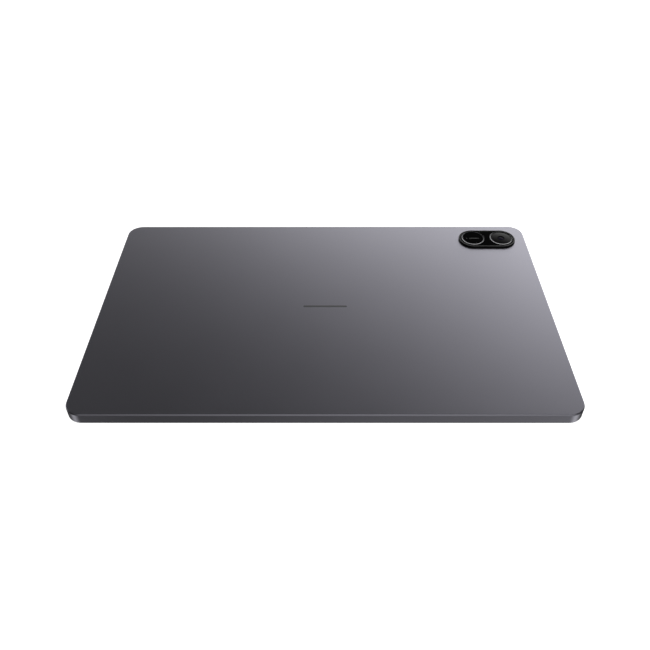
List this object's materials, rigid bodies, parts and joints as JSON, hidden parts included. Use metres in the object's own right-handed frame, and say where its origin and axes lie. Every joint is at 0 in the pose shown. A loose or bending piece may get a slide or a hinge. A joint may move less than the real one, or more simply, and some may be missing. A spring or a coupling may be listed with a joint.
{
  "type": "tablet computer",
  "caption": "Slim aluminium-backed tablet computer lying on its screen, with a raised stadium-shaped camera plate in one corner, side keys, card tray and USB port.",
  "frame": {"origin": "centre of the outer face of the cover glass, on the surface that the tablet lies on", "axes": "+X along the long side towards the power key, +Y along the short side towards the volume rocker, +Z out of the metal back"},
  "size_m": [0.2677, 0.1678, 0.0083],
  "materials": {
    "anodised_aluminium": "fine bead-blasted, anodised dark grey, satin",
    "cover_glass": "clear glass with a black printed border, polished",
    "black_plastic": "moulded, matt",
    "foam_tape": "black foam tape",
    "display_cell": "switched-off liquid crystal cell",
    "backlight": "white reflector behind light guide and films",
    "aluminium_sheet": "stamped sheet",
    "camera_metal": "gloss black, smooth",
    "camera_glass": "black backed glass, polished",
    "ring_metal": "turned, dark anodised, polished bevel",
    "chip_package": "moulded package",
    "steel": "stainless sheet and pins",
    "circuit_board": "green solder mask",
    "polyimide_flex": "amber flexible circuit",
    "graphite": "graphite film",
    "battery_pouch": "dark laminated foil pouch"
  },
  "bodies": {
    "tablet": {"rear_housing": "anodised_aluminium", "cover_glass": "cover_glass", "bezel_frame": "black_plastic", "camera_lens_barrel": "black_plastic", "speaker_upper_right": "black_plastic", "speaker_lower_right": "black_plastic", "speaker_upper_left": "black_plastic", "speaker_lower_left": "black_plastic", "antenna_left": "black_plastic", "antenna_right": "black_plastic", "antenna_cable": "black_plastic", "display_adhesive": "foam_tape", "display_panel": "display_cell", "backlight_unit": "backlight", "support_plate": "aluminium_sheet", "camera_plinth": "camera_metal", "camera_window": "camera_glass", "lens_cover_main": "camera_glass", "lens_cover_second": "camera_glass", "lens_ring_main": "ring_metal", "lens_ring_second": "ring_metal", "camera_sensor_module": "chip_package", "front_camera": "chip_package", "processor_chip": "chip_package", "storage_chip": "chip_package", "power_key_switch": "chip_package", "volume_up_switch": "chip_package", "volume_down_switch": "chip_package", "usb_tongue": "chip_package", "power_key_bracket": "steel", "volume_key_bracket": "steel", "card_socket": "steel", "eject_pivot": "steel", "processor_shield": "steel", "radio_shield": "steel", "power_shield": "steel", "usb_shell": "steel", "microphone_top": "steel", "microphone_side": "steel", "board_screw_1": "steel", "board_screw_2": "steel", "board_screw_3": "steel", "board_screw_4": "steel", "board_screw_5": "steel", "board_screw_6": "steel", "main_board": "circuit_board", "usb_board": "circuit_board", "battery_protection_board": "circuit_board", "side_key_flex": "polyimide_flex", "main_flex": "polyimide_flex", "display_flex": "polyimide_flex", "heat_spreader": "graphite", "battery_cell_left": "battery_pouch", "battery_cell_right": "battery_pouch"},
    "power_key_body": {"power_key": "anodised_aluminium"},
    "volume_rocker_body": {"volume_rocker": "anodised_aluminium"},
    "card_tray_body": {"card_tray": "anodised_aluminium"},
    "eject_rod_body": {"eject_rod": "steel"},
    "eject_lever_body": {"eject_lever": "steel"}
  },
  "joints": [
    {"name": "power_key_press", "type": "slide", "parent": "tablet", "child": "power_key_body", "axis": [-1, 0, 0], "range_m": [0, 0.00025], "stiffness_N_per_m": 2000, "springref_m": -0.0005},
    {"name": "volume_rocker_tilt", "type": "hinge", "parent": "tablet", "child": "volume_rocker_body", "pos_m": [0.084, 0.08125, 0.0035], "axis": [0, 0, 1], "range_deg": [-1.5, 1.5], "stiffness_Nm_per_rad": 0.5},
    {"name": "card_tray_slide", "type": "slide", "parent": "tablet", "child": "card_tray_body", "axis": [1, 0, 0], "range_m": [0, 0.02]},
    {"name": "eject_rod_slide", "type": "slide", "parent": "tablet", "child": "eject_rod_body", "axis": [-1, 0, 0], "range_m": [0, 0.0015]},
    {"name": "eject_lever_turn", "type": "hinge", "parent": "tablet", "child": "eject_lever_body", "pos_m": [0.1084, 0.0006, 0.0035], "axis": [0, 0, -1], "range_deg": [0, 12.9]}
  ],
  "couplings": [
    {"joint": "eject_lever_turn", "follows": "eject_rod_slide", "rad_per_m": 149.25}
  ]
}
